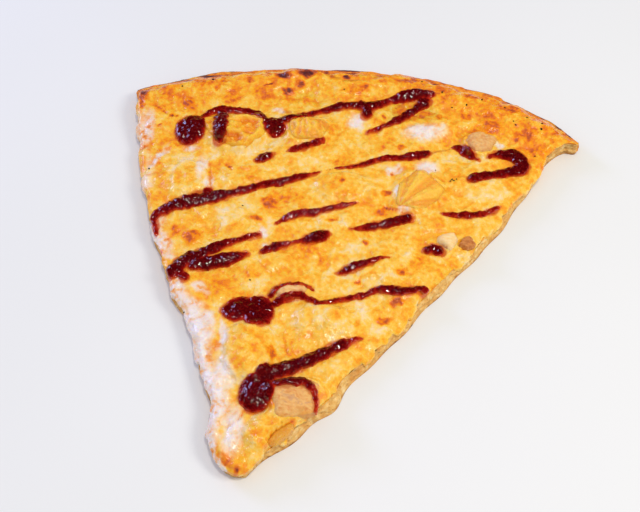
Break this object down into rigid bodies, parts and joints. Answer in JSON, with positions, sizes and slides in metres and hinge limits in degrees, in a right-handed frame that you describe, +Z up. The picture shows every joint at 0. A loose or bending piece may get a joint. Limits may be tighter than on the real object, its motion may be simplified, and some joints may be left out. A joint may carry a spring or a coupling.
{
  "type": "pizza slice",
  "caption": "Slice of thin-crust pizza with melted cheese, chicken, pineapple and a thick dark barbecue drizzle, lying flat.",
  "frame": {"origin": "on the resting plane, under the middle of the slice's outline", "axes": "+Z up out of the resting plane, -Y towards the slice's point, +Y towards its rim, +X to the right seen from the point"},
  "size_m": [0.208, 0.2155, 0.0138],
  "materials": {
    "crust": "baked, browned and dry",
    "cheese": "melted, oily, golden, with browned spots and dark drizzle",
    "pineapple": "moist and fibrous",
    "chicken": "cooked, lightly moist"
  },
  "bodies": {
    "root": {"crust": "crust", "cheese": "cheese", "pineapple_left": "pineapple", "pineapple_middle": "pineapple", "pineapple_fan": "pineapple", "pineapple_cut": "pineapple", "chicken_rim": "chicken", "chicken_point": "chicken", "chicken_centre": "chicken", "chicken_right": "chicken", "chicken_cut": "chicken"}
  },
  "joints": []
}
